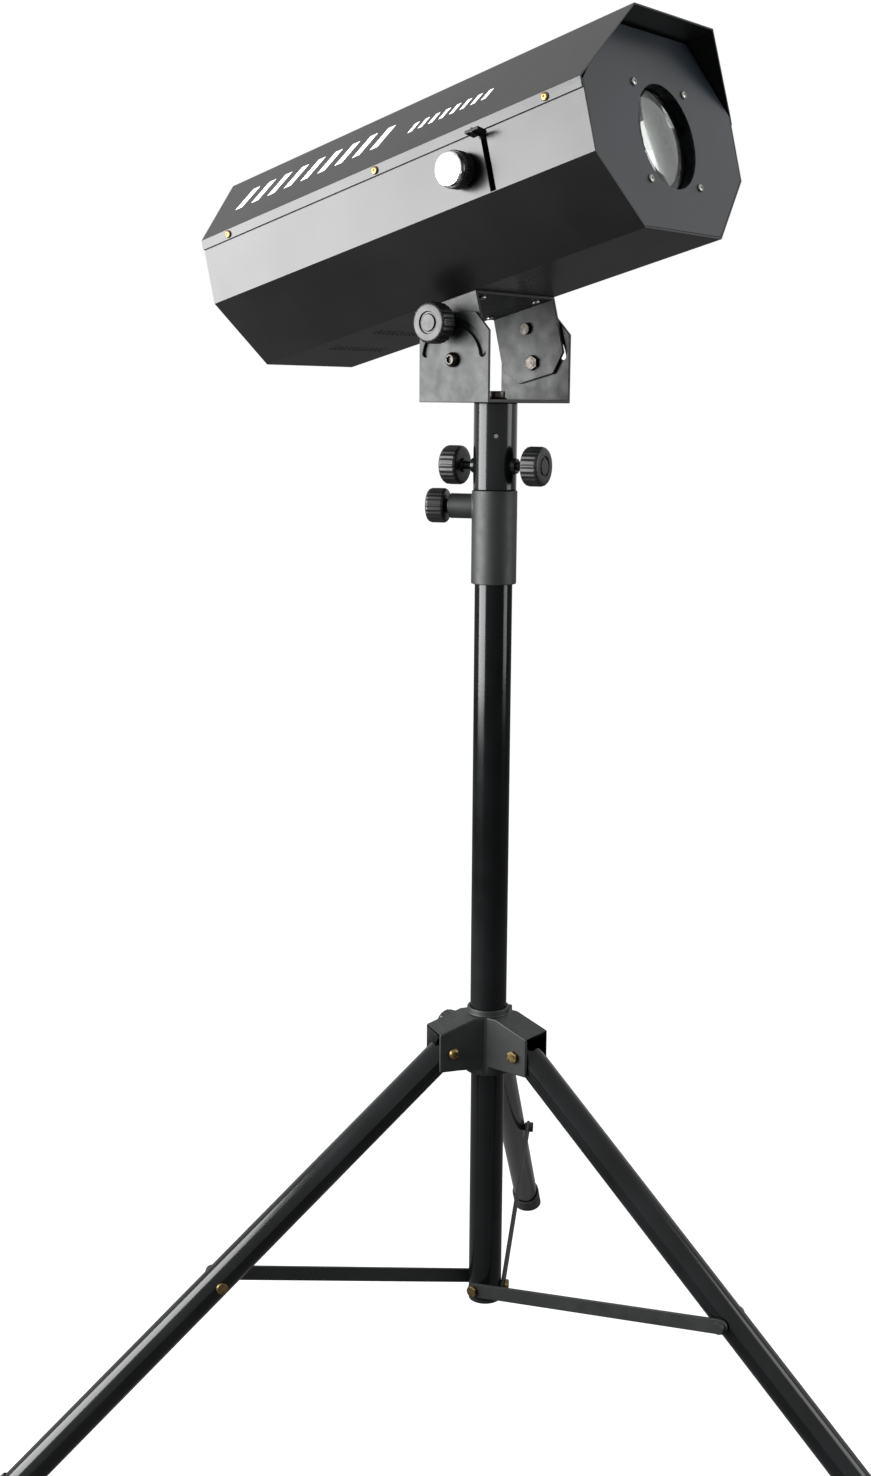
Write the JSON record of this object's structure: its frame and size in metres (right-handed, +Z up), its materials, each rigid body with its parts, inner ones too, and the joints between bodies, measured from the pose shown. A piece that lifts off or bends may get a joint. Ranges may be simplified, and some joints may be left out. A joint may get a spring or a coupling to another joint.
{
  "type": "follow spot",
  "caption": "Stage follow spot with an octagonal sheet metal head, tilting yoke, telescopic mast and a folding tripod stand.",
  "frame": {"origin": "on the stand axis at the floor, under the mast", "axes": "+Z up along the mast, the beam leaves towards -Y and is tilted up, the side with the controls faces -X"},
  "size_m": [0.8974, 0.7772, 1.3242],
  "materials": {
    "gloss_tube": "gloss black enamel",
    "matte_cast": "matte black coating",
    "case_paint": "satin black powder coat",
    "plate_paint": "satin dark blue-grey paint",
    "zinc": "zinc plated",
    "brass_screw": "yellow passivated",
    "black_plastic": "moulded black plastic",
    "rubber": "matte rubber",
    "nylon": "natural nylon",
    "alloy": "raw extrusion",
    "glass": "polished",
    "board": "white solder mask",
    "supply_case": "folded sheet",
    "red_rocker": "gloss"
  },
  "bodies": {
    "stand": {"main_tube": "gloss_tube", "leg_hub": "matte_cast", "leg_pins": "zinc", "collar_clamp": "matte_cast", "mast_bush": "nylon"},
    "lower_column": {"lower_tube": "gloss_tube", "post_bolts": "zinc", "lower_tube_plug": "black_plastic"},
    "mast": {"mast_tube": "gloss_tube", "mast_plug": "black_plastic"},
    "yoke": {"socket_tube": "matte_cast", "socket_screw": "zinc", "yoke_bracket": "matte_cast", "yoke_bolt": "zinc"},
    "head": {"head_bracket": "matte_cast", "pivot_bolts": "zinc", "far_lock_bolt": "zinc", "bracket_screws": "zinc", "lower_shell": "case_paint", "top_cover": "case_paint", "cover_screws": "brass_screw", "front_plate": "plate_paint", "lens_screws": "brass_screw", "rear_plate": "case_paint", "lens_mount": "alloy", "front_lens": "glass", "lens_retainer": "alloy", "iris_plate": "alloy", "iris_housing": "alloy", "condenser_plate": "alloy", "condenser_cell": "alloy", "condenser_lens": "glass", "led_module": "board", "heat_sink": "alloy", "fan_frame": "black_plastic", "power_supply": "supply_case", "mains_inlet": "black_plastic", "switch_housing": "black_plastic", "dimmer_control": "black_plastic"},
    "hub_knob": {"hub_lock_knob": "black_plastic"},
    "collar_knob": {"collar_lock_knob": "black_plastic"},
    "socket_knob_a": {"socket_knob_left": "black_plastic"},
    "socket_knob_b": {"socket_knob_right": "black_plastic"},
    "tilt_knob": {"tilt_lock_knob": "black_plastic"},
    "iris": {"iris_lever": "black_plastic"},
    "dimmer": {"dimmer_knob": "black_plastic"},
    "fan": {"fan_rotor": "black_plastic"},
    "rocker": {"power_rocker": "red_rocker"},
    "left_leg": {"leg_left": "gloss_tube", "foot_left": "rubber", "brace_bolt_left": "zinc"},
    "left_brace": {"brace_left": "matte_cast"},
    "front_leg": {"leg_front": "gloss_tube", "foot_front": "rubber", "brace_bolt_front": "zinc"},
    "front_brace": {"brace_front": "matte_cast"},
    "rear_leg": {"leg_rear": "gloss_tube", "foot_rear": "rubber", "brace_bolt_rear": "zinc"},
    "rear_brace": {"brace_rear": "matte_cast"}
  },
  "joints": [
    {"name": "leg_fold", "type": "hinge", "parent": "stand", "child": "front_leg", "pos_m": [0, -0.0432, 0.39909], "axis": [1, 0, 0], "range_deg": [0, 46]},
    {"name": "leg_fold_left", "type": "hinge", "parent": "stand", "child": "left_leg", "pos_m": [-0.03741, 0.0216, 0.39909], "axis": [-0.5, -0.866, 0], "range_deg": [0, 46]},
    {"name": "leg_fold_rear", "type": "hinge", "parent": "stand", "child": "rear_leg", "pos_m": [0.03741, 0.0216, 0.39909], "axis": [-0.5, 0.866, 0], "range_deg": [0, 46]},
    {"name": "lower_column_slide", "type": "slide", "parent": "stand", "child": "lower_column", "axis": [0, 0, -1], "range_m": [0, 0.32425]},
    {"name": "brace_turn_left", "type": "hinge", "parent": "lower_column", "child": "left_brace", "pos_m": [0, 0, 0.14609], "axis": [0.5, 0.866, 0], "range_deg": [0, 66.46]},
    {"name": "brace_turn_front", "type": "hinge", "parent": "lower_column", "child": "front_brace", "pos_m": [0, 0, 0.14609], "axis": [-1, 0, 0], "range_deg": [0, 66.46]},
    {"name": "brace_turn_rear", "type": "hinge", "parent": "lower_column", "child": "rear_brace", "pos_m": [0, 0, 0.14609], "axis": [0.5, -0.866, 0], "range_deg": [0, 66.46]},
    {"name": "mast_height", "type": "slide", "parent": "stand", "child": "mast", "axis": [0, 0, 1], "range_m": [0, 0.34]},
    {"name": "head_pan", "type": "hinge", "parent": "mast", "child": "yoke", "pos_m": [0, 0, 0.93239], "axis": [0, 0, 1], "range_deg": [-180, 180]},
    {"name": "head_tilt", "type": "hinge", "parent": "yoke", "child": "head", "pos_m": [0, 0, 1.04809], "axis": [-1, 0, 0], "range_deg": [-74, 46]},
    {"name": "tilt_knob_turn", "type": "hinge", "parent": "head", "child": "tilt_knob", "pos_m": [-0.064, 0.00774, 1.07914], "axis": [-1, 0, 0], "range_deg": [0, 360]},
    {"name": "hub_knob_turn", "type": "hinge", "parent": "stand", "child": "hub_knob", "pos_m": [0, 0.033, 0.40509], "axis": [0, 1, 0], "range_deg": [0, 360]},
    {"name": "collar_knob_turn", "type": "hinge", "parent": "stand", "child": "collar_knob", "pos_m": [-0.01454, 0.03994, 0.91709], "axis": [-0.342, 0.9397, 0], "range_deg": [0, 360]},
    {"name": "socket_knob_left_turn", "type": "hinge", "parent": "yoke", "child": "socket_knob_a", "pos_m": [-0.00313, 0.01975, 0.95439], "axis": [-0.1564, 0.9877, 0], "range_deg": [0, 360]},
    {"name": "socket_knob_right_turn", "type": "hinge", "parent": "yoke", "child": "socket_knob_b", "pos_m": [0.00313, -0.01975, 0.95439], "axis": [0.1564, -0.9877, 0], "range_deg": [0, 360]},
    {"name": "iris_turn", "type": "hinge", "parent": "head", "child": "iris", "pos_m": [0, -0.07529, 1.20497], "axis": [0, -0.9703, 0.2419], "range_deg": [0, 20]},
    {"name": "dimmer_turn", "type": "hinge", "parent": "head", "child": "dimmer", "pos_m": [-0.12, -0.05006, 1.19868], "axis": [-1, 0, 0], "range_deg": [0, 280]},
    {"name": "fan_spin", "type": "hinge", "parent": "head", "child": "fan", "pos_m": [0, 0.09064, 1.1636], "axis": [0, 0.9703, -0.2419], "continuous": true},
    {"name": "power_switch", "type": "hinge", "parent": "head", "child": "rocker", "pos_m": [0.025, 0.22336, 1.0697], "axis": [-1, 0, 0], "range_deg": [0, 16]}
  ],
  "couplings": [
    {"joint": "leg_fold_left", "follows": "leg_fold", "ratio": 1},
    {"joint": "leg_fold_rear", "follows": "leg_fold", "ratio": 1},
    {"joint": "lower_column_slide", "follows": "leg_fold", "m_per_rad": 0.40387},
    {"joint": "brace_turn_left", "follows": "leg_fold", "ratio": 1.4448},
    {"joint": "brace_turn_front", "follows": "leg_fold", "ratio": 1.4448},
    {"joint": "brace_turn_rear", "follows": "leg_fold", "ratio": 1.4448}
  ]
}
